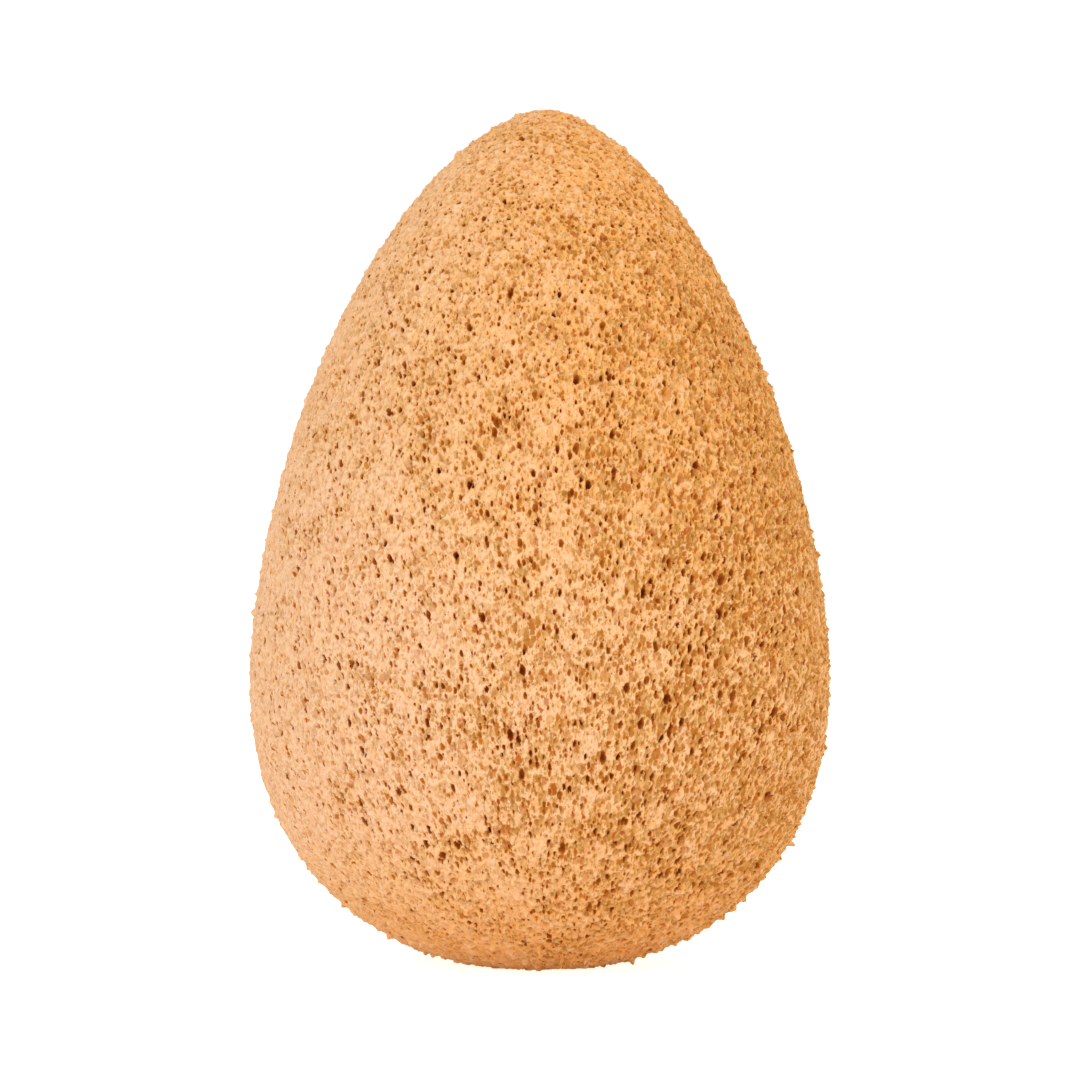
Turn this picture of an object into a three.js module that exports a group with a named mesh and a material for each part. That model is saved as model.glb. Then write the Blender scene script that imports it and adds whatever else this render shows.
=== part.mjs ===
// An egg-shaped sponge, standing upright on a small flat cut at its blunt end.
// Millimetres, +Z up. The origin is the centre of the flat cut, on the surface that the sponge
// stands on, and the Z axis is the sponge's own axis.
// A sponge is grown as one piece, so it is one closed solid. Its outer skin is modelled here. The
// pores are open pits of under a millimetre in that skin, too fine for a solid.

import * as THREE from "three";

// Driving dimensions.
const HEIGHT = 60.0;             // from the flat cut to the tip
const BELT_DIAMETER = 40.7;      // across the widest place
const BELT_HEIGHT = 20.2;        // how high the widest place is above the cut
const CUT_RADIUS = 4.2;          // radius of the flat cut that it stands on

// How the radius falls away from the belt: (1 - share^bow)^(1/round), where share goes from 0 at
// the belt to 1 at the end. 2 and 2 make an ellipse, less makes a point, more makes a shoulder.
const TIP_BOW = 1.66;
const TIP_ROUND = 1.69;
const FOOT_BOW = 2.21;
const FOOT_ROUND = 2.22;

// Facets.
const SIDES = 48;                // round the axis
const TIP_RINGS = 26;            // from the belt to the tip
const FOOT_RINGS = 14;           // from the belt to the cut

const BELT_RADIUS = BELT_DIAMETER / 2;

const fallOff = (share, bow, round) => (1 - share ** bow) ** (1 / round);

// The foot's curve would close a little below the cut. cutShare is where the cut crosses it.
const cutShare = (1 - (CUT_RADIUS / BELT_RADIUS) ** FOOT_ROUND) ** (1 / FOOT_BOW);

// Equal steps of this angle put the rings close together where the outline turns quickly.
const quarterTurn = Math.PI / 2;

function outline() {
  const points = [new THREE.Vector2(0, 0)];
  const cutAngle = Math.asin(cutShare);
  for (let ring = FOOT_RINGS; ring > 0; ring -= 1) {
    const share = Math.sin(cutAngle * ring / FOOT_RINGS);
    const radius = BELT_RADIUS * fallOff(share, FOOT_BOW, FOOT_ROUND);
    const height = BELT_HEIGHT * (1 - share / cutShare);
    points.push(new THREE.Vector2(radius, height));
  }
  for (let ring = 0; ring < TIP_RINGS; ring += 1) {
    const share = Math.sin(quarterTurn * ring / TIP_RINGS);
    const radius = BELT_RADIUS * fallOff(share, TIP_BOW, TIP_ROUND);
    const height = BELT_HEIGHT + (HEIGHT - BELT_HEIGHT) * share;
    points.push(new THREE.Vector2(radius, height));
  }
  points.push(new THREE.Vector2(0, HEIGHT));
  return points;
}

const foam = new THREE.MeshStandardMaterial({
  color: 0xe9b078,
  roughness: 0.92,
  metalness: 0,
});

const sponge = new THREE.Mesh(new THREE.LatheGeometry(outline(), SIDES), foam);
sponge.name = "sponge";
sponge.rotation.x = quarterTurn; // the lathe turns about Y, and the sponge stands along Z

const group = new THREE.Group();
group.add(sponge);

export default group;
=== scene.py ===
# %% [markdown]
# # An egg-shaped sea sponge
#
# The object is one piece of foam: a fine-pored, peach-coloured egg that stands on its blunt end. There
# is no second piece, so this whole lesson is about one surface and how to make it look like a sponge.
#
# It is made in two steps. Geometry Nodes grow an egg and cut the larger pores into it. A material then
# colours the skin and the pores. Both steps use the same recipe for where the pores are, so the
# painted shade of a pore lies inside its carved hole. The finest marks are only painted shade and not
# carved.
#
# The imported model gives the frame: where the solid is and how large. Everything is in its metres.

# %% Load the frame
import math

import bpy
import numpy as np
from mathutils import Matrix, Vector


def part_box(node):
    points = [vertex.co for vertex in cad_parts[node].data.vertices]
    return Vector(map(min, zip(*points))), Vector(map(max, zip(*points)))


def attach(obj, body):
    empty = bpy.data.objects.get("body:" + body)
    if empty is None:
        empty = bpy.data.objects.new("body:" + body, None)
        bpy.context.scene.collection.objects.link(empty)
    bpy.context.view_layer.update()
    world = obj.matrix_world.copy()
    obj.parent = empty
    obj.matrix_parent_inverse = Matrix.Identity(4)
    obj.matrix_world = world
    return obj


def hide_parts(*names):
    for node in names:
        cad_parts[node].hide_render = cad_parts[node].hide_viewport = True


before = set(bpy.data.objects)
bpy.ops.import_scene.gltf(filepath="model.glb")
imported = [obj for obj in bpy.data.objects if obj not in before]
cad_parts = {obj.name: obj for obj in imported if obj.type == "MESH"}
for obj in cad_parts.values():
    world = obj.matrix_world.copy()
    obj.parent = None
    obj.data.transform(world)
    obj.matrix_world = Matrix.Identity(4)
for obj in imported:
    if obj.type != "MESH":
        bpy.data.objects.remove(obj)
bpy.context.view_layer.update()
low, high = (Vector(corner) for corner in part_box("sponge"))
height = high.z - low.z
belt_diameter = high.x - low.x
MM = 0.001  # one millimetre in the frame's metres
print(f"the sponge is {height / MM:.1f} mm tall and {belt_diameter / MM:.1f} mm across")

# %% [markdown]
# ## Small helpers for node trees
#
# A node tree can be wired by hand in the editor or written out as code. Code is longer, but it reads
# from top to bottom like a recipe. One helper adds any node. The others add the arithmetic nodes that
# nearly every line needs, and hand back the socket with the answer.

# %% One helper for any node
def add_node(tree, kind, inputs=None, **settings):
    """Adds a node. An input that is given a socket is linked to it, and any other value is set."""
    node = tree.nodes.new(kind)
    for name, value in settings.items():
        setattr(node, name, value)
    for key, value in (inputs or {}).items():
        if isinstance(value, bpy.types.NodeSocket):
            tree.links.new(value, node.inputs[key])
        else:
            node.inputs[key].default_value = value
    return node


# %% Helpers for numbers
def calc(tree, operation, *values, clamp=False):
    """A Math node's answer."""
    inputs = dict(enumerate(values))
    return add_node(tree, "ShaderNodeMath", inputs, operation=operation, use_clamp=clamp).outputs[0]


def square(tree, value):
    """A number times itself."""
    return calc(tree, "MULTIPLY", value, value)


def line(tree, value, slope, start, clamp=False):
    """start + slope x value."""
    return calc(tree, "MULTIPLY_ADD", value, slope, start, clamp=clamp)


# %% Helpers for vectors
def calc_vector(tree, operation, *values, scale=None):
    """A Vector Math node's answer."""
    inputs = dict(enumerate(values))
    if scale is not None:
        inputs["Scale"] = scale
    return add_node(tree, "ShaderNodeVectorMath", inputs, operation=operation).outputs[0]


def dot(tree, a, b):
    """The dot product: how far vector a reaches along the direction b."""
    node = add_node(tree, "ShaderNodeVectorMath", {0: a, 1: b}, operation="DOT_PRODUCT")
    return node.outputs["Value"]


def split(tree, vector):
    """The x, y and z of a vector."""
    return add_node(tree, "ShaderNodeSeparateXYZ", {0: vector}).outputs


def join(tree, x, y, z):
    """A vector from x, y and z."""
    return add_node(tree, "ShaderNodeCombineXYZ", {0: x, 1: y, 2: z}).outputs[0]


def noise(tree, place, size, detail):
    """Smooth cloudy noise whose lumps are about this many millimetres wide."""
    inputs = {"Vector": place, "Scale": 1 / size, "Detail": detail}
    return add_node(tree, "ShaderNodeTexNoise", inputs).outputs


# %% A helper for node groups
FLOAT = "NodeSocketFloat"
VECTOR = "NodeSocketVector"
MATERIAL = "NodeSocketMaterial"
WHOLE = "NodeSocketInt"


def new_group(kind, name, inputs, outputs):
    """An empty node group with named sockets. It returns the group and its input sockets."""
    tree = bpy.data.node_groups.new(name, kind)
    for label, (form, default) in inputs.items():
        socket = tree.interface.new_socket(label, in_out="INPUT", socket_type=form)
        if default is not None:
            socket.default_value = default
    for label, form in outputs.items():
        tree.interface.new_socket(label, in_out="OUTPUT", socket_type=form)
    return tree, tree.nodes.new("NodeGroupInput").outputs


# The pore groups are built twice, once for the tree that carves and once for the one that paints.
GROUP_NODE = {"GeometryNodeTree": "GeometryNodeGroup", "ShaderNodeTree": "ShaderNodeGroup"}

# %% [markdown]
# ## Which way a pore points
#
# The openings in the skin are not round. They are taller than wide, as in a foam that rises while it
# grows. Seen from the front they spread like a fan: those on the left lean left and those on the
# right lean right. On the very tip and under the foot, where the skin lies flat, they are round.
#
# So each place on the skin needs its own three directions: out of the skin, along a pore and across
# it. The egg is close to half of one ellipsoid on top of half of another, which gives a smooth
# "out" direction from the place alone.

# %% The frame of a pore
STRAIGHT_UP = (0.0, 0.0, 1.0)
TIP_ROUNDING = 1.7  # how soon pores turn round towards the tip
LOW_STRETCH = 0.6  # how much taller they get on the skin that faces down
FOOT_ROUNDING = 1.6  # takes all of the stretch away again right under the foot


def build_pore_frame(kind):
    """A place goes in, and three directions come out."""
    tree, given = new_group(
        kind, f"Pore frame {kind}",
        {"Place": (VECTOR, None),
         "Belt Height": (FLOAT, 20.2),
         "Belt Radius": (FLOAT, 20.35),
         "Tip Height": (FLOAT, 39.8),
         "Turn": (FLOAT, -0.04),
         "Fan": (FLOAT, 0.64)},
        {"Out": VECTOR, "Along": VECTOR, "Across": VECTOR, "Upright": FLOAT})
    x, y, z = split(tree, given["Place"])
    above = calc(tree, "SUBTRACT", z, given["Belt Height"])
    upper = calc(tree, "MAXIMUM", above, 0.0)
    lower = calc(tree, "MINIMUM", above, 0.0)
    rise_above = calc(tree, "DIVIDE", upper, square(tree, given["Tip Height"]))
    rise_below = calc(tree, "DIVIDE", lower, square(tree, given["Belt Height"]))
    side_reach = square(tree, given["Belt Radius"])
    slope = join(tree, calc(tree, "DIVIDE", x, side_reach), calc(tree, "DIVIDE", y, side_reach),
                 calc(tree, "ADD", rise_above, rise_below))
    out = calc_vector(tree, "NORMALIZE", slope)
    side = calc_vector(tree, "NORMALIZE", calc_vector(tree, "CROSS_PRODUCT", STRAIGHT_UP, out))
    up = calc_vector(tree, "CROSS_PRODUCT", out, side)
    out_x, _, out_z = split(tree, out)
    facing_up = calc(tree, "MAXIMUM", out_z, 0.0)
    facing_down = calc(tree, "MAXIMUM", calc(tree, "MULTIPLY", out_z, -1.0), 0.0)
    fan = calc(tree, "MULTIPLY", given["Fan"], calc(tree, "ADD", facing_up, 1.0))
    lean = line(tree, out_x, fan, given["Turn"])
    leaning = calc_vector(tree, "ADD", up, calc_vector(tree, "SCALE", side, scale=lean))
    along = calc_vector(tree, "NORMALIZE", leaning)
    across = calc_vector(tree, "CROSS_PRODUCT", along, out)
    upright = calc(tree, "MAXIMUM", line(tree, square(tree, facing_up), -TIP_ROUNDING, 1.0), 0.0)
    upright = line(tree, facing_down, LOW_STRETCH, upright)
    right_under = calc(tree, "POWER", facing_down, 4.0)
    upright = line(tree, right_under, -FOOT_ROUNDING, upright)
    add_node(tree, "NodeGroupOutput",
             {"Out": out, "Along": along, "Across": across, "Upright": upright})
    return tree


# %% [markdown]
# ## One layer of bubbles
#
# Foam is bubbles, and the skin cuts through them. A Voronoi texture scatters one point in every small
# cell of space, and a stretched ball round each point is a bubble. Where the skin passes through a
# ball there is an opening. A cut through the middle of the ball gives a wide mouth, and a cut near its
# end gives a small one, so one layer already holds many sizes.
#
# The group measures how far into the mouth a place is (1 in the middle, 0 at the edge) and how deep
# the pore is there. It also marks the left and right inner edges, which are steep, for painted shade
# that stands in for the little light that reaches them.

# %% The bubble group
SMALL_ONES = 1.6  # above 1, so that small balls are commoner than large ones
LEAST_OPENING = 0.001  # keeps the mouth from being divided by nothing
EDGE_BEGINS = 0.65  # how far into the mouth the painted shade on the inner edge begins
EDGE_FULL = 0.15  # and how far in it is at its darkest
MIDDLE = 0.02  # in this middle share of the mouth, left and right cannot be told apart
RIM_FADE = 8.0  # how fast that painted shade fades out on the rim itself


def build_bubbles(kind):
    """A place and its directions go in. The shape of the nearest bubble's opening comes out."""
    tree, given = new_group(
        kind, f"Bubbles {kind}",
        {"Place": (VECTOR, None),
         "Out": (VECTOR, None),
         "Along": (VECTOR, None),
         "Across": (VECTOR, None),
         "Upright": (FLOAT, 1.0),
         "Grow": (FLOAT, 1.0),
         "Spacing": (FLOAT, 0.7),
         "Squeeze": (FLOAT, 0.8),
         "Narrow": (FLOAT, 0.1),
         "Wide": (FLOAT, 0.2),
         "Stretch": (FLOAT, 1.8),
         "Shallow": (FLOAT, 0.1),
         "Deep": (FLOAT, 0.5),
         "Kept": (FLOAT, 1.0),
         "Seed": (FLOAT, 0.0)},
        {"Depth": FLOAT, "Mouth": FLOAT, "Soft": FLOAT, "Edge": FLOAT, "Wall": FLOAT,
         "Chance": FLOAT})
    flatten = join(tree, 1.0, 1.0, given["Squeeze"])
    squeezed = calc_vector(tree, "MULTIPLY", given["Place"], flatten)
    shifted = calc_vector(tree, "ADD", squeezed, join(tree, given["Seed"], given["Seed"], 0.0))
    cells = add_node(tree, "ShaderNodeTexVoronoi",
                     {"Vector": shifted, "Scale": calc(tree, "DIVIDE", 1.0, given["Spacing"])},
                     voronoi_dimensions="3D", feature="F1").outputs
    width_chance, depth_chance, kept_chance = split(tree, cells["Color"])
    kept = calc(tree, "LESS_THAN", kept_chance, given["Kept"])
    half_width = add_node(tree, "ShaderNodeMapRange",
                          {"Value": calc(tree, "POWER", width_chance, SMALL_ONES),
                           "To Min": given["Narrow"], "To Max": given["Wide"]}).outputs[0]
    half_width = calc(tree, "MULTIPLY", half_width, given["Grow"])
    half_depth = add_node(tree, "ShaderNodeMapRange",
                          {"Value": depth_chance, "To Min": given["Shallow"],
                           "To Max": given["Deep"]}).outputs[0]
    stretch = line(tree, calc(tree, "SUBTRACT", given["Stretch"], 1.0), given["Upright"], 1.0)
    away = calc_vector(tree, "SUBTRACT", shifted, cells["Position"])
    away = calc_vector(tree, "DIVIDE", away, flatten)
    along = calc(tree, "DIVIDE", dot(tree, away, given["Along"]), stretch)
    across = dot(tree, away, given["Across"])
    ball_size = square(tree, half_width)
    flat = calc(tree, "ADD", square(tree, along), square(tree, across))
    flat = calc(tree, "DIVIDE", flat, ball_size)
    under = calc(tree, "DIVIDE", dot(tree, away, given["Out"]), half_width)
    opening = calc(tree, "SUBTRACT", 1.0, square(tree, under))
    opening = calc(tree, "MAXIMUM", opening, LEAST_OPENING)
    mouth = calc(tree, "SUBTRACT", 1.0, calc(tree, "DIVIDE", flat, opening), clamp=True)
    mouth = calc(tree, "MULTIPLY", mouth, kept)
    soft = calc(tree, "MULTIPLY", mouth, opening)
    floor_share = calc(tree, "ADD", calc(tree, "SQRT", opening), under)
    deepest = calc(tree, "MULTIPLY", floor_share, half_depth)
    depth = calc(tree, "MULTIPLY", deepest, mouth)
    near_edge = add_node(tree, "ShaderNodeMapRange",
                         {"Value": mouth, "From Min": EDGE_BEGINS,
                          "From Max": EDGE_FULL}).outputs[0]
    sideways = calc(tree, "DIVIDE", calc(tree, "DIVIDE", square(tree, across), ball_size),
                    calc(tree, "MAXIMUM", flat, MIDDLE), clamp=True)
    inside = calc(tree, "MULTIPLY", mouth, RIM_FADE, clamp=True)
    edge = calc(tree, "MULTIPLY", calc(tree, "MULTIPLY", near_edge, sideways), inside)
    add_node(tree, "NodeGroupOutput",
             {"Depth": depth, "Mouth": mouth, "Soft": soft, "Edge": edge,
              "Wall": cells["Distance"], "Chance": depth_chance})
    return tree


# %% [markdown]
# ## Six sizes of bubble
#
# One layer looks too regular, so six are laid over each other. Holes and slots are the dark pores.
# Hollows are wide, shallow cups with a floor you can see. Dimples and grit are the spaces between the
# fine strands of the foam, and ticks are the smallest dark marks. The darker paint on every one of
# these layers is painted shade.
#
# In the table below, Spacing is the size of a cell, and Squeeze makes the cells taller than wide.
# Narrow and Wide are half the width of the smallest and the largest ball, and Stretch is how many
# times as tall as wide its mouth is. Shallow and Deep are how far it sinks in, and Kept is the share
# of cells that have a ball at all. Lengths are in millimetres.
#
# Two things break up the neat ovals. The place is first pushed about by a fine noise, so that edges
# are ragged. A slow noise and the side of the egg set how open the foam is: it is tighter and
# smoother on the left, coarser on the right, and a little tighter on the tip and under the foot.
# Where the foam is open the painted shade in its pores is stronger, so there is more of it on the
# right.

# %% The six layers
LAYERS = {
    "hole": dict(Spacing=0.90, Squeeze=0.75, Narrow=0.12, Wide=0.24, Stretch=2.0,
                 Shallow=0.35, Deep=0.65, Kept=0.60, Seed=11.0),
    "slot": dict(Spacing=0.43, Squeeze=0.75, Narrow=0.070, Wide=0.160, Stretch=2.1,
                 Shallow=0.06, Deep=0.46, Kept=0.95, Seed=53.0),
    "hollow": dict(Spacing=0.60, Squeeze=0.80, Narrow=0.17, Wide=0.33, Stretch=1.6,
                   Shallow=0.08, Deep=0.22, Kept=0.75, Seed=37.0),
    "dimple": dict(Spacing=0.38, Squeeze=0.75, Narrow=0.14, Wide=0.24, Stretch=1.6,
                   Shallow=0.0, Deep=0.14, Kept=0.95, Seed=91.0),
    "grit": dict(Spacing=0.22, Squeeze=0.75, Narrow=0.08, Wide=0.13, Stretch=1.6,
                 Shallow=0.0, Deep=0.10, Kept=0.90, Seed=23.0),
    "tick": dict(Spacing=0.25, Squeeze=0.70, Narrow=0.045, Wide=0.080, Stretch=2.5,
                 Shallow=0.05, Deep=0.14, Kept=0.85, Seed=71.0),
}
CRISP_LAYERS = ("hole", "slot", "tick")  # the rest have more ragged edges
CRISP_PUSH = 0.22  # how strongly the fine noise pushes these about
RAGGED_PUSH = 0.40  # and how strongly it pushes the rest
print("pore layers:", ", ".join(LAYERS))

# %% All layers in one group
OPEN_PER_MM = 0.029  # how much more open the foam gets with each millimetre to the right
TIP_TIGHTER = 0.10  # how much less open it is on the tip
FOOT_TIGHTER = 0.35  # and under the foot
DARK_CARVED = 0.6  # the share of a dark pore's depth that is carved: painted shade stands in for the rest
HOLLOW_CARVED = 0.8  # the same for a hollow


def build_pores(kind):
    """A place goes in. What every layer does there comes out."""
    pore_frame = build_pore_frame(kind)
    bubbles = build_bubbles(kind)
    tree, given = new_group(
        kind, f"Pores {kind}", {"Place": (VECTOR, None)},
        {"Carve": FLOAT, "Deep": FLOAT, "Mouth": FLOAT, "Hollow": FLOAT, "Hollow Edge": FLOAT,
         "Hollow Chance": FLOAT, "Dimples": FLOAT, "Dimple Chance": FLOAT, "Ticks": FLOAT,
         "Wall": FLOAT, "Open": FLOAT, "Out": VECTOR})
    place = given["Place"]
    ways = add_node(tree, GROUP_NODE[kind], {"Place": place}, node_tree=pore_frame).outputs
    cloudy = noise(tree, place, size=0.28, detail=3.0)["Color"]
    push = calc_vector(tree, "SUBTRACT", cloudy, (0.5, 0.5, 0.5))  # so it pushes both ways
    crisp = calc_vector(tree, "ADD", place, calc_vector(tree, "SCALE", push, scale=CRISP_PUSH))
    ragged = calc_vector(tree, "ADD", place, calc_vector(tree, "SCALE", push, scale=RAGGED_PUSH))

    x, _, _ = split(tree, place)
    _, _, out_z = split(tree, ways["Out"])
    facing_up = calc(tree, "MAXIMUM", out_z, 0.0)
    facing_down = calc(tree, "MINIMUM", out_z, 0.0)
    patch = noise(tree, place, size=3.0, detail=2.5)[0]
    opened = line(tree, patch, slope=1.7, start=-0.28)
    opened = line(tree, x, OPEN_PER_MM, opened)
    opened = line(tree, square(tree, facing_up), -TIP_TIGHTER, opened)
    opened = line(tree, square(tree, facing_down), -FOOT_TIGHTER, opened, clamp=True)
    grow = line(tree, opened, slope=0.34, start=0.83)  # where the foam is open, bubbles are larger

    found = {}
    for name, sizes in LAYERS.items():
        inputs = {"Place": crisp if name in CRISP_LAYERS else ragged, "Out": ways["Out"],
                  "Along": ways["Along"], "Across": ways["Across"], "Upright": ways["Upright"],
                  "Grow": grow, **sizes}
        found[name] = add_node(tree, GROUP_NODE[kind], inputs, node_tree=bubbles).outputs
    hole, slot, hollow, dimple, grit, tick = found.values()

    deep = calc(tree, "MAXIMUM", hole["Depth"], slot["Depth"])
    carve = calc(tree, "MULTIPLY", hollow["Depth"], HOLLOW_CARVED)
    carve = line(tree, deep, DARK_CARVED, carve)
    # by chance, some dimples are strong and some are hardly there
    dimple_strength = line(tree, dimple["Chance"], slope=1.5, start=0.1)
    grit_strength = line(tree, grit["Chance"], slope=1.2, start=0.1)
    dimples = calc(tree, "ADD", calc(tree, "MULTIPLY", dimple["Soft"], dimple_strength),
                   calc(tree, "MULTIPLY", grit["Soft"], grit_strength))
    add_node(tree, "NodeGroupOutput",
             {"Carve": carve, "Deep": deep,
              "Mouth": calc(tree, "MAXIMUM", hole["Mouth"], slot["Mouth"]),
              "Hollow": hollow["Mouth"], "Hollow Edge": hollow["Edge"],
              "Hollow Chance": hollow["Chance"],
              "Dimples": dimples, "Dimple Chance": dimple["Chance"], "Ticks": tick["Mouth"],
              "Wall": slot["Wall"], "Open": opened, "Out": ways["Out"]})
    return tree


# %% [markdown]
# ## The egg
#
# A ball of rings would crowd its points at the poles. A cube blown up into a ball has no poles, and
# its points are spread nearly evenly, so the pores are carved about equally well on the tip, the belt
# and the foot. The tangent below spaces the grid lines evenly by angle.
#
# The ball is then given the egg's outline. Each point keeps its direction round the upright axis and
# its height sets how far out it goes. The outline is the same formula as the solid model's: one curve
# from the belt up to the tip, and a blunter one from the belt down to the flat cut.

# %% The tree and its inputs
tree, given = new_group(
    "GeometryNodeTree", "Sponge egg",
    {"Height": (FLOAT, 60.0),
     "Belt Diameter": (FLOAT, 40.7),
     "Belt Height": (FLOAT, 20.2),
     "Cut Radius": (FLOAT, 4.2),
     "Tip Bow": (FLOAT, 1.66),
     "Tip Round": (FLOAT, 1.69),
     "Foot Bow": (FLOAT, 2.21),
     "Foot Round": (FLOAT, 2.22),
     "Tip Lean": (FLOAT, 0.42),
     "Rows": (WHOLE, 320),
     # from here on, how many millimetres each kind of relief rises or sinks
     "Lumps": (FLOAT, 0.16),
     "Grain": (FLOAT, 0.10),
     "Ridges": (FLOAT, 0.20),
     "Thorns": (FLOAT, 0.36),
     "Burrs": (FLOAT, 0.16),
     "Dimples": (FLOAT, 0.13),
     "Sunken": (FLOAT, 0.09),
     "Finish": (MATERIAL, None)},
    {"Sponge": "NodeSocketGeometry"})
print("the egg is set by", len(given) - 1, "inputs")

# %% From a cube to a ball
points = calc(tree, "ADD", given["Rows"], 1.0)
cube = add_node(tree, "GeometryNodeMeshCube",
                {"Size": (2.0, 2.0, 2.0), "Vertices X": points, "Vertices Y": points,
                 "Vertices Z": points})
spot = add_node(tree, "GeometryNodeInputPosition").outputs[0]
marked = add_node(tree, "GeometryNodeStoreNamedAttribute",
                  {"Geometry": cube.outputs["Mesh"], "Name": "cube_place", "Value": spot},
                  data_type="FLOAT_VECTOR", domain="POINT")
even = calc_vector(tree, "TANGENT", calc_vector(tree, "SCALE", spot, scale=math.pi / 4))
way = calc_vector(tree, "NORMALIZE", even)
way_x, way_y, way_z = split(tree, way)

# %% From a ball to an egg
belt_radius = calc(tree, "DIVIDE", given["Belt Diameter"], 2.0)
cut_share = calc(tree, "DIVIDE", given["Cut Radius"], belt_radius)
cut_share = calc(tree, "SUBTRACT", 1.0, calc(tree, "POWER", cut_share, given["Foot Round"]))
cut_share = calc(tree, "POWER", cut_share, calc(tree, "DIVIDE", 1.0, given["Foot Bow"]))
foot_depth = calc(tree, "DIVIDE", given["Belt Height"], cut_share)
cut_away = calc(tree, "SUBTRACT", foot_depth, given["Belt Height"])
full_height = calc(tree, "ADD", given["Height"], cut_away)
# way_z runs from -1 to 1, and the level from the round end below the cut up to the tip
level = calc(tree, "MULTIPLY", line(tree, way_z, slope=0.5, start=0.5), full_height)
level = calc(tree, "SUBTRACT", level, cut_away)
tip_share = calc(tree, "DIVIDE", calc(tree, "SUBTRACT", level, given["Belt Height"]),
                 calc(tree, "SUBTRACT", given["Height"], given["Belt Height"]), clamp=True)
foot_share = calc(tree, "DIVIDE", calc(tree, "SUBTRACT", given["Belt Height"], level), foot_depth,
                  clamp=True)


def fall_off(share, bow, rounding):
    """How wide the egg still is this share of the way from its belt to its end."""
    left = calc(tree, "SUBTRACT", 1.0, calc(tree, "POWER", share, bow), clamp=True)
    return calc(tree, "POWER", left, calc(tree, "DIVIDE", 1.0, rounding))


tip_width = fall_off(tip_share, given["Tip Bow"], given["Tip Round"])
foot_width = fall_off(foot_share, given["Foot Bow"], given["Foot Round"])
radius = calc(tree, "MULTIPLY", belt_radius, calc(tree, "MULTIPLY", tip_width, foot_width))
around = calc_vector(tree, "NORMALIZE", join(tree, way_x, way_y, 0.0))
ring_x, ring_y, _ = split(tree, calc_vector(tree, "SCALE", around, scale=radius))
# the tip leans a little to the right, and the high power leaves the rest of the egg upright
near_tip = calc(tree, "POWER", calc(tree, "DIVIDE", level, given["Height"], clamp=True), 5.0)
egg_place = join(tree, line(tree, near_tip, given["Tip Lean"], ring_x), ring_y,
                 calc(tree, "MAXIMUM", level, 0.0))
egg = add_node(tree, "GeometryNodeSetPosition",
               {"Geometry": marked.outputs[0], "Position": egg_place})
print("the smooth egg takes", len(tree.nodes), "nodes")

# %% [markdown]
# ## Carving the skin
#
# The smooth egg remembers its own place as "skin_place", in millimetres. The carving and the paint
# both read that, so they agree to far less than the size of a face.
#
# Then every point moves along its normal. Slow lumps keep the outline from being perfect. Ridges stand
# up where bubble walls meet. Thorns and burrs are torn strands that stick out, which is what makes the
# outline look toothed. Last, the pores sink in, and so does the whole skin, by a little, so that the
# raised strands do not make the egg larger than the solid. Nothing may go below the flat cut.

# %% Remember the smooth skin
kept = add_node(tree, "GeometryNodeStoreNamedAttribute",
                {"Geometry": egg.outputs[0], "Name": "skin_place",
                 "Value": add_node(tree, "GeometryNodeInputPosition").outputs[0]},
                data_type="FLOAT_VECTOR", domain="POINT")
place = add_node(tree, "GeometryNodeInputNamedAttribute", {"Name": "skin_place"},
                 data_type="FLOAT_VECTOR").outputs[0]
pores = add_node(tree, "GeometryNodeGroup", {"Place": place},
                 node_tree=build_pores("GeometryNodeTree")).outputs
print("the pore group tells:", ", ".join(answer.name for answer in pores))


# %% Torn strands
def spikes(spacing, base, steepness):
    """Small cones of many heights, from 0 to 1, one in every cell of this spacing."""
    cells = add_node(tree, "ShaderNodeTexVoronoi", {"Vector": place, "Scale": 1 / spacing},
                     voronoi_dimensions="3D", feature="F1").outputs
    tall = calc(tree, "POWER", split(tree, cells["Color"])[0], steepness)
    cone = calc(tree, "SUBTRACT", 1.0, calc(tree, "DIVIDE", cells["Distance"], base), clamp=True)
    return calc(tree, "MULTIPLY", cone, tall)


FOOT_COARSER = 0.6  # how much taller the strands are where the skin faces down

_, _, out_z = split(tree, pores["Out"])
facing_down = calc(tree, "MAXIMUM", calc(tree, "MULTIPLY", out_z, -1.0), 0.0)
coarse = line(tree, pores["Open"], slope=0.4, start=0.75)
coarse = line(tree, square(tree, facing_down), FOOT_COARSER, coarse)
thorns = calc(tree, "MULTIPLY", spikes(spacing=0.80, base=0.45, steepness=1.7), coarse)
burrs = calc(tree, "MULTIPLY", spikes(spacing=0.45, base=0.60, steepness=1.5), coarse)

# %% Add up the relief
# noise is 0.5 on average, so without that it moves the skin both in and out
lumps = calc(tree, "SUBTRACT", noise(tree, place, size=11.0, detail=1.0)[0], 0.5)
grain = calc(tree, "SUBTRACT", noise(tree, place, size=0.55, detail=2.0)[0], 0.5)
ridges = calc(tree, "POWER", pores["Wall"], 2.5)  # the power leaves only thin, sharp ridges
rise = calc(tree, "MULTIPLY", lumps, given["Lumps"])
rise = line(tree, grain, given["Grain"], rise)
rise = line(tree, ridges, given["Ridges"], rise)
rise = line(tree, thorns, given["Thorns"], rise)
rise = line(tree, burrs, given["Burrs"], rise)
rise = calc(tree, "SUBTRACT", rise, calc(tree, "MULTIPLY", pores["Dimples"], given["Dimples"]))
rise = calc(tree, "SUBTRACT", rise, pores["Carve"])
rise = calc(tree, "SUBTRACT", rise, given["Sunken"])

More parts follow.
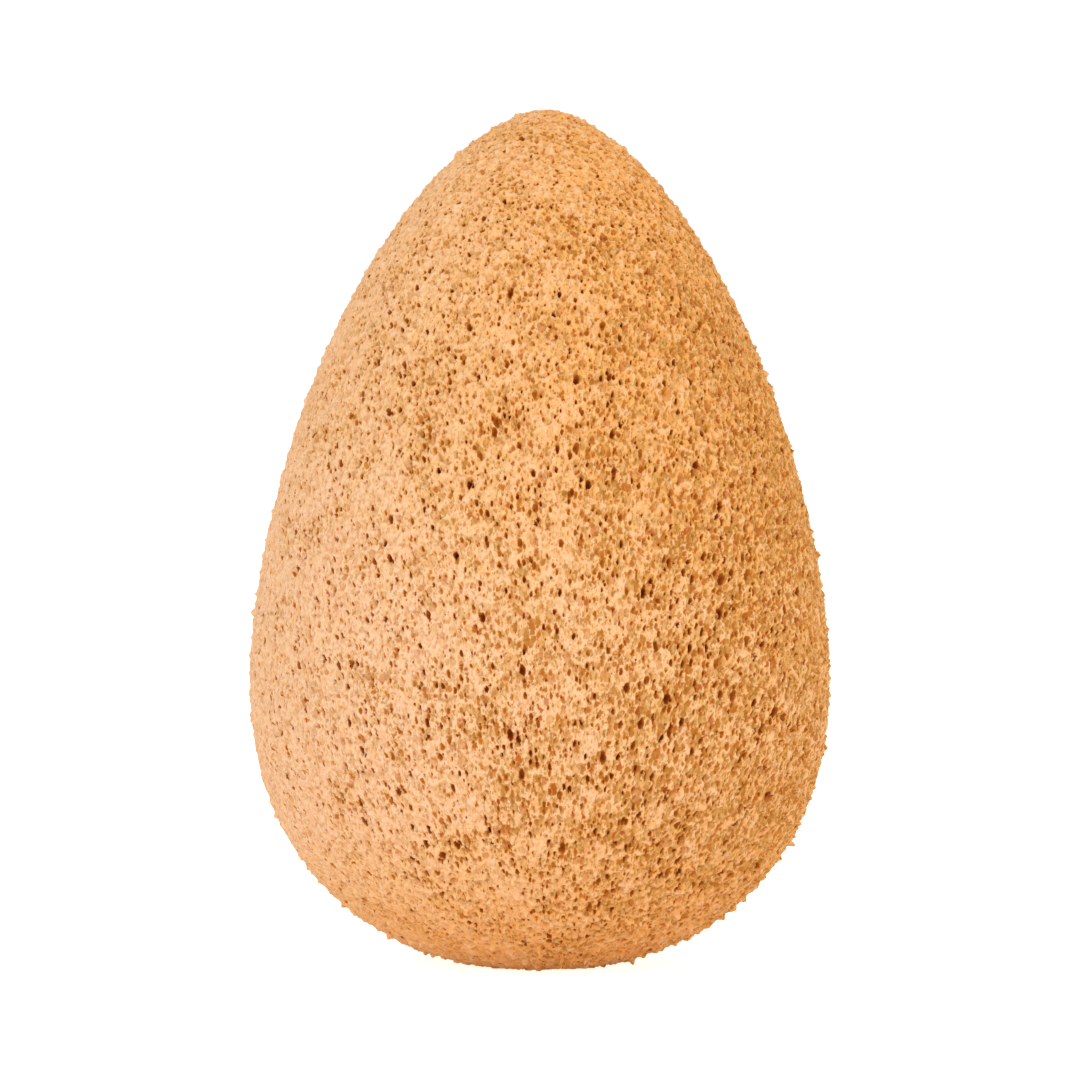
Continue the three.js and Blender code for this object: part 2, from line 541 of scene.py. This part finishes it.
# %% Move the skin and hand it over
outward = add_node(tree, "GeometryNodeInputNormal").outputs[0]
moved = calc_vector(tree, "ADD", place, calc_vector(tree, "SCALE", outward, scale=rise))
moved_x, moved_y, moved_z = split(tree, moved)
moved = join(tree, moved_x, moved_y, calc(tree, "MAXIMUM", moved_z, 0.0))
moved = calc_vector(tree, "SCALE", moved, scale=MM)
carved = add_node(tree, "GeometryNodeSetPosition",
                  {"Geometry": kept.outputs[0], "Position": moved})
smooth = add_node(tree, "GeometryNodeSetShadeSmooth", {"Geometry": carved.outputs[0]})
real = add_node(tree, "GeometryNodeRealizeInstances", {"Geometry": smooth.outputs[0]})
painted = add_node(tree, "GeometryNodeSetMaterial",
                   {"Geometry": real.outputs[0], "Material": given["Finish"]})
add_node(tree, "NodeGroupOutput", {"Sponge": painted.outputs[0]})
print("the egg tree has", len(tree.nodes), "nodes")


# %% [markdown]
# ## The colour of the foam
#
# The skin is pale peach on the left, and more orange on the right, in the upper half and at the
# foot. The change from the pale left to the deeper orange right, and the deeper orange at the foot,
# is painted shade. Where you look into the foam the paint gets darker and redder: this is painted
# shade, for light that has bounced between orange walls a few times. The raised lines get a painted
# highlight. So the paint is built up in the order the eye goes in: skin, strands, dimples, hollows,
# ticks, and last the insides of the dark pores.

# %% Three helpers for colours
def ramp(tree, value, stops):
    """A Color Ramp through these (position, colour) stops."""
    node = add_node(tree, "ShaderNodeValToRGB", {0: value})
    elements = node.color_ramp.elements
    first, *middle, last = stops
    elements[0].position, elements[0].color = first[0], (*first[1], 1)
    elements[1].position, elements[1].color = last[0], (*last[1], 1)
    for position, colour in middle:
        elements.new(position).color = (*colour, 1)
    return node.outputs[0]


def mix_colour(tree, share, below, above):
    """Lays one colour over another, by this share."""
    if not isinstance(above, bpy.types.NodeSocket):
        above = (*above, 1)
    # sockets 6 and 7 are the Mix node's two colours, and output 2 is the colour it makes
    inputs = {0: share, 6: below, 7: above}
    return add_node(tree, "ShaderNodeMix", inputs, data_type="RGBA").outputs[2]


def clouds(tree, place, size, slope, start):
    """A share from 0 to 1 that drifts over the skin. A steep slope gives it hard edges."""
    return line(tree, noise(tree, place, size, detail=1.0)[0], slope, start, clamp=True)


# %% The colours, from the skin inwards
# pale peach to deep orange: the deep end also carries the painted shade on the right and at the foot
SKIN = [(0.08, (1.0, 0.68, 0.47)), (0.38, (1.0, 0.62, 0.32)), (0.71, (0.97, 0.49, 0.145)),
        (0.98, (0.93, 0.43, 0.09))]
BLUSH = (1.0, 0.54, 0.36)
STRAW = (0.93, 0.56, 0.20)
SPECKLE = (0.84, 0.43, 0.17)
# a painted highlight on the raised lines where bubble walls meet
STRAND_HIGHLIGHT = (1.0, 0.70, 0.45)
# painted shade on the floors of the dimples, in tones from ochre to red that vary at random
DIMPLE_FLOOR_SHADE = [(0.0, (0.68, 0.345, 0.085)), (0.6, (0.55, 0.255, 0.05)), (1.0, (0.62, 0.19, 0.03))]
# painted shade on the floors of the hollows, in tones from ochre to red that vary at random
HOLLOW_FLOOR_SHADE = [(0.0, (0.84, 0.47, 0.17)), (0.55, (0.70, 0.39, 0.11)), (0.8, (0.78, 0.34, 0.09)),
                (0.9, (0.60, 0.15, 0.02)), (1.0, (0.84, 0.44, 0.15))]
# darker painted shade on the steep left and right sides of a hollow
HOLLOW_SIDE_SHADE = (0.44, 0.19, 0.03)
# painted shade for the smallest pits, which are not carved
TICK_SHADE = (0.50, 0.22, 0.035)
# painted shade inside the dark pores: darker and redder the deeper they go
INSIDE_SHADE = [(0.0, (0.68, 0.28, 0.055)), (0.15, (0.47, 0.14, 0.013)), (0.5, (0.27, 0.056, 0.004)),
          (1.0, (0.12, 0.016, 0.001))]
DEEPEST = 0.8  # the depth in millimetres at which the painted shade inside a pore is darkest
print("the skin goes through", len(SKIN), "colours, and the inside of a pore through", len(INSIDE_SHADE))

# %% The material and what it reads
finish = bpy.data.materials.new("sponge skin")
finish.use_nodes = True
finish.diffuse_color = (0.85, 0.50, 0.25, 1)  # only for the editor's plain view
paint = finish.node_tree
paint.nodes.clear()
place = add_node(paint, "ShaderNodeAttribute", attribute_name="skin_place").outputs["Vector"]
pores = add_node(paint, "ShaderNodeGroup", {"Place": place},
                 node_tree=build_pores("ShaderNodeTree")).outputs
opened = pores["Open"]

# %% How warm the skin is, with painted shade on the right and under the foot
RIGHT_SHADE_PER_MM = 0.024  # painted shade: how much darker and more orange it gets with each millimetre to the right
RIGHT_SHADE_PER_MM_TIP = 0.030  # this much more painted shade per millimetre is added where the skin faces up
FOOT_SHADE = 1.1  # painted shade: how much darker and more orange it is where the skin faces down
WARM_UPWARDS = {"From Min": 16.0, "From Max": 44.0,  # between these two heights in millimetres
                "To Min": -0.10, "To Max": 0.45}  # the warmth grows from the first to the second
WARM_OVERALL = 0.75  # turns all of these up or down together

x, _, z = split(paint, place)
_, _, out_z = split(paint, pores["Out"])
facing_up = calc(paint, "MAXIMUM", out_z, 0.0)
drooping = square(paint, calc(paint, "MINIMUM", out_z, 0.0))
patches = noise(paint, place, size=3.0, detail=4.0)[0]
warmth_and_shade = line(paint, patches, slope=0.9, start=-0.05)
# painted shade: darker and more orange towards the right, and where the skin faces down
warmth_and_shade = line(paint, x, line(paint, facing_up, RIGHT_SHADE_PER_MM_TIP, RIGHT_SHADE_PER_MM), warmth_and_shade)
warmth_and_shade = line(paint, drooping, FOOT_SHADE, warmth_and_shade)
upwards = add_node(paint, "ShaderNodeMapRange", {"Value": z, **WARM_UPWARDS},
                   interpolation_type="SMOOTHSTEP").outputs[0]
warmth_and_shade = calc(paint, "MULTIPLY", calc(paint, "ADD", warmth_and_shade, upwards), WARM_OVERALL)

# %% The skin, with clouds of blush and straw
STRAW_SHARE = 0.40  # how much of the skin's colour it hides at its strongest

skin = ramp(paint, warmth_and_shade, SKIN)
blush = clouds(paint, place, size=1.1, slope=3.0, start=-1.25)
blush = calc(paint, "MULTIPLY", blush, line(paint, warmth_and_shade, slope=-0.35, start=0.45))
skin = mix_colour(paint, blush, skin, BLUSH)
straw = clouds(paint, place, size=0.7, slope=4.0, start=-2.0)
skin = mix_colour(paint, calc(paint, "MULTIPLY", straw, STRAW_SHARE), skin, STRAW)

# %% The strands: a fine speckle, and painted highlights on the lines where walls meet
STRAND_HIGHLIGHT_SHARE = 0.5  # the same for the painted highlights

tall = calc_vector(paint, "MULTIPLY", place, (1.0, 1.0, 0.6))  # so specks are taller than wide
speckle = noise(paint, tall, size=0.17, detail=2.0)[0]
speckled = line(paint, speckle, slope=3.6, start=-1.5, clamp=True)
skin = mix_colour(paint, speckled, skin, SPECKLE)
# painted highlight on the raised lines where bubble walls meet
strand_highlight = line(paint, pores["Wall"], slope=3.0, start=-1.4, clamp=True)
skin = mix_colour(paint, calc(paint, "MULTIPLY", strand_highlight, STRAND_HIGHLIGHT_SHARE), skin, STRAND_HIGHLIGHT)

# %% The dimples: painted shade on their floors, ochre, which shows more where the foam is open
FOOT_DIMPLE_SHADE = 0.3  # how much more of that painted shade shows where the skin faces down

dimple_shade_strength = line(paint, opened, slope=1.0, start=0.30)
dimple_shade_strength = line(paint, drooping, FOOT_DIMPLE_SHADE, dimple_shade_strength)
dimples = calc(paint, "MULTIPLY", pores["Dimples"], dimple_shade_strength)
dimples = line(paint, dimples, slope=1.35, start=-0.16, clamp=True)
# painted shade on the dimple floors
skin = mix_colour(paint, dimples, skin, ramp(paint, pores["Dimple Chance"], DIMPLE_FLOOR_SHADE))

# %% The hollows: painted shade on their floors, ochre or reddish, and darker painted shade on their sides
HOLLOW_RIM = 1.8  # how hard the rim of the painted floor is

# painted shade on the floors of the hollows, stronger where the foam is open
hollow = calc(paint, "MULTIPLY", pores["Hollow"], HOLLOW_RIM, clamp=True)
hollow = calc(paint, "MULTIPLY", hollow, line(paint, opened, slope=0.40, start=0.28))
skin = mix_colour(paint, hollow, skin, ramp(paint, pores["Hollow Chance"], HOLLOW_FLOOR_SHADE))
# painted shade on the steep sides of the hollows, stronger where the foam is open
side_shade = line(paint, opened, slope=0.45, start=0.50)
side_shade = calc(paint, "MULTIPLY", pores["Hollow Edge"], side_shade)
skin = mix_colour(paint, side_shade, skin, HOLLOW_SIDE_SHADE)

# %% The ticks and the dark pores: painted shade, which in the pores is redder and darker the deeper they go
TICK_RIM = 2.5
PORE_RIM = 3.0

# painted shade for the smallest pits, which are not carved
tick_shade = calc(paint, "MULTIPLY", pores["Ticks"], TICK_RIM, clamp=True)
tick_shade = calc(paint, "MULTIPLY", tick_shade, line(paint, opened, slope=0.45, start=0.35))
skin = mix_colour(paint, tick_shade, skin, TICK_SHADE)
# painted shade inside the dark pores, darker and redder with depth
inside = ramp(paint, calc(paint, "DIVIDE", pores["Deep"], DEEPEST), INSIDE_SHADE)
mouth = calc(paint, "MULTIPLY", pores["Mouth"], PORE_RIM, clamp=True)
skin = mix_colour(paint, mouth, skin, inside)

# %% A dull, slightly rough surface
SPECK_HEIGHT = 0.07  # millimetres

bumps = calc(paint, "MULTIPLY", speckle, SPECK_HEIGHT)
bump = add_node(paint, "ShaderNodeBump", {"Strength": 0.8, "Distance": MM, "Height": bumps})
shader = add_node(paint, "ShaderNodeBsdfPrincipled",
                  {"Base Color": skin, "Roughness": 0.75, "Specular IOR Level": 0.08,
                   "Normal": bump.outputs[0]})
add_node(paint, "ShaderNodeOutputMaterial", {"Surface": shader.outputs[0]})
print("the finish has", len(paint.nodes), "nodes")

# %% [markdown]
# ## Growing it
#
# The tree is set by its socket names and then run once. The result is copied to a plain mesh, and
# the object that grew it is thrown away. What is left is one piece, at the origin, unturned and
# unscaled.

# %% Grow the sponge
ROWS = 384  # faces along each edge of the cube: one is about 0.09 mm, half the width of a small pore
grower = bpy.data.objects.new("sponge grower", bpy.data.meshes.new("sponge seed"))
bpy.context.scene.collection.objects.link(grower)
modifier = grower.modifiers.new("Grow", "NODES")
modifier.node_group = tree
sockets = {item.name: item.identifier
           for item in tree.interface.items_tree if item.in_out == "INPUT"}
modifier[sockets["Height"]] = height / MM
modifier[sockets["Belt Diameter"]] = belt_diameter / MM
modifier[sockets["Rows"]] = ROWS
modifier[sockets["Finish"]] = finish
grown = grower.evaluated_get(bpy.context.evaluated_depsgraph_get())
mesh = bpy.data.meshes.new_from_object(grown)
mesh.name = "sponge foam"
grower.modifiers.clear()
bpy.data.objects.remove(grower)
sponge = bpy.data.objects.new("sponge_foam", mesh)
bpy.context.scene.collection.objects.link(sponge)
print("the foam has", len(mesh.vertices), "points and", len(mesh.polygons), "faces")

# %% [markdown]
# ## A flat map of the skin
#
# To paint a picture on the sponge, its skin must be unfolded. It was grown from a cube, so the six
# sides of that cube are a good map already. They are laid out three by two, with a small margin
# between them so that the colour of one side does not run into the next.

# %% Unfold the cube
COLUMNS, LINES = 3, 2  # how the six sides are laid out
MARGIN = 0.012  # the empty share at each edge of a side's square

corner_total = len(mesh.loops)
cube_flat = np.empty(len(mesh.vertices) * 3, dtype=np.float32)
mesh.attributes["cube_place"].data.foreach_get("vector", cube_flat)
corner_points = np.empty(corner_total, dtype=np.int32)
mesh.loops.foreach_get("vertex_index", corner_points)
corners = cube_flat.reshape(-1, 3)[corner_points].reshape(-1, 4, 3)  # faces, corners, x y z
middle = corners.mean(axis=1)
axis = np.abs(middle).argmax(axis=1)  # 0, 1 or 2: the way each face looks out of the cube
faces = np.arange(len(middle))
positive = (middle[faces, axis] > 0).astype(np.int32)
# the two directions that lie in each side of the cube
across_axis = (axis + 1) % 3
up_axis = (axis + 2) % 3
across = (corners[faces, :, across_axis] + 1) / 2
up = (corners[faces, :, up_axis] + 1) / 2
across = np.where(positive[:, None] == 1, across, 1 - across)  # so no side is mirrored
flat_map = np.empty((len(middle), 4, 2), dtype=np.float32)
flat_map[..., 0] = (axis[:, None] + MARGIN + across * (1 - 2 * MARGIN)) / COLUMNS
flat_map[..., 1] = (positive[:, None] + MARGIN + up * (1 - 2 * MARGIN)) / LINES
layer = mesh.uv_layers.new(name="OFBake")
layer.uv.foreach_set("vector", flat_map.reshape(-1))
mesh.attributes.remove(mesh.attributes["cube_place"])
map_low = flat_map.min(axis=(0, 1)).round(3)
map_high = flat_map.max(axis=(0, 1)).round(3)
print("the map runs from", map_low, "to", map_high)

# %% Tell the frame what it is
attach(sponge, "root")
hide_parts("sponge")

# %% [markdown]
# ## The studio
#
# The sponge stands on a plain white table that glows a little, under an even, slightly warm light. A
# cool lamp on the left and a weaker, warmer one on the right bring out the pores without hard
# shadows. Both lamps are large, so their light is soft.

# %% The table
FLOOR_SIZE = 6.0
TABLE_GLOW = 0.20  # light the table gives the underside of the sponge
SEEN_GLOW = 0.70  # extra light that only the camera sees, so the table looks white

bpy.ops.mesh.primitive_plane_add(size=FLOOR_SIZE, location=(0, 0, 0))
floor = bpy.context.object
floor.name = "floor"
white = bpy.data.materials.new("table white")
white.use_nodes = True
table = white.node_tree.nodes["Principled BSDF"].inputs
table["Base Color"].default_value = (0.90, 0.87, 0.82, 1)
table["Roughness"].default_value = 0.9
table["Specular IOR Level"].default_value = 0.0
table["Emission Color"].default_value = (1.0, 0.96, 0.91, 1)
seen = add_node(white.node_tree, "ShaderNodeLightPath").outputs["Is Camera Ray"]
glow = line(white.node_tree, seen, SEEN_GLOW, TABLE_GLOW)
white.node_tree.links.new(glow, table["Emission Strength"])
floor.data.materials.append(white)
print(f"the table is {FLOOR_SIZE:.0f} m wide")

# %% The light all round
ROOM_LIGHT = (0.77, 0.71, 0.63, 1)
SEEN_WHITE = (1.1, 1.1, 1.1)  # what the camera sees behind the sponge

world = bpy.data.worlds.new("studio")
world.use_nodes = True
room = world.node_tree
seen = add_node(room, "ShaderNodeLightPath").outputs["Is Camera Ray"]
light = mix_colour(room, seen, ROOM_LIGHT, SEEN_WHITE)
room.links.new(light, room.nodes["Background"].inputs["Color"])
bpy.context.scene.world = world


# %% Two soft lamps
def soft_lamp(name, place, size, power, colour):
    """A square lamp that looks at the middle of the sponge. Power is in watts."""
    lamp = bpy.data.lights.new(name, "AREA")
    lamp.size = size
    lamp.energy = power
    lamp.color = colour
    holder = bpy.data.objects.new(name, lamp)
    holder.location = place
    aim = Vector((0, 0, height / 2)) - Vector(place)
    holder.rotation_euler = aim.to_track_quat("-Z", "Y").to_euler()
    bpy.context.scene.collection.objects.link(holder)


LAMP_SIZE = 0.38
soft_lamp("cool lamp on the left", place=(-0.33, -0.58, 0.30), size=LAMP_SIZE,
          power=1.03, colour=(0.83, 0.92, 1.0))
soft_lamp("warm lamp on the right", place=(0.46, -0.45, 0.28), size=LAMP_SIZE,
          power=0.82, colour=(1.0, 0.86, 0.68))
print(f"two lamps, each {LAMP_SIZE / height:.0f} times as wide as the sponge is tall")

# %% [markdown]
# ## The camera
#
# The sponge is seen from the front and almost level, from far away through a long lens, so that it
# looks flat and calm with no strong perspective.

# %% Place the camera
LENS = 200.0  # millimetres
SENSOR = 36.0  # millimetres
SHARE_OF_PICTURE = 0.791  # how much of the picture's height the sponge fills
ELEVATION = math.radians(2.0)
AIM_HEIGHT = 0.497  # the point looked at, as a share of the sponge's height

picture_width = height / SHARE_OF_PICTURE
distance = picture_width * LENS / SENSOR
camera_data = bpy.data.cameras.new("camera")
camera_data.lens = LENS
camera_data.sensor_width = SENSOR
camera = bpy.data.objects.new("camera", camera_data)
bpy.context.scene.collection.objects.link(camera)
target = Vector((0.0, 0.0, height * AIM_HEIGHT))
camera.location = target + distance * Vector((0, -math.cos(ELEVATION), math.sin(ELEVATION)))
camera.rotation_euler = (target - camera.location).to_track_quat("-Z", "Y").to_euler()
bpy.context.scene.camera = camera
bpy.context.scene.view_settings.view_transform = "Standard"
print(f"the camera is {distance:.3f} m away")
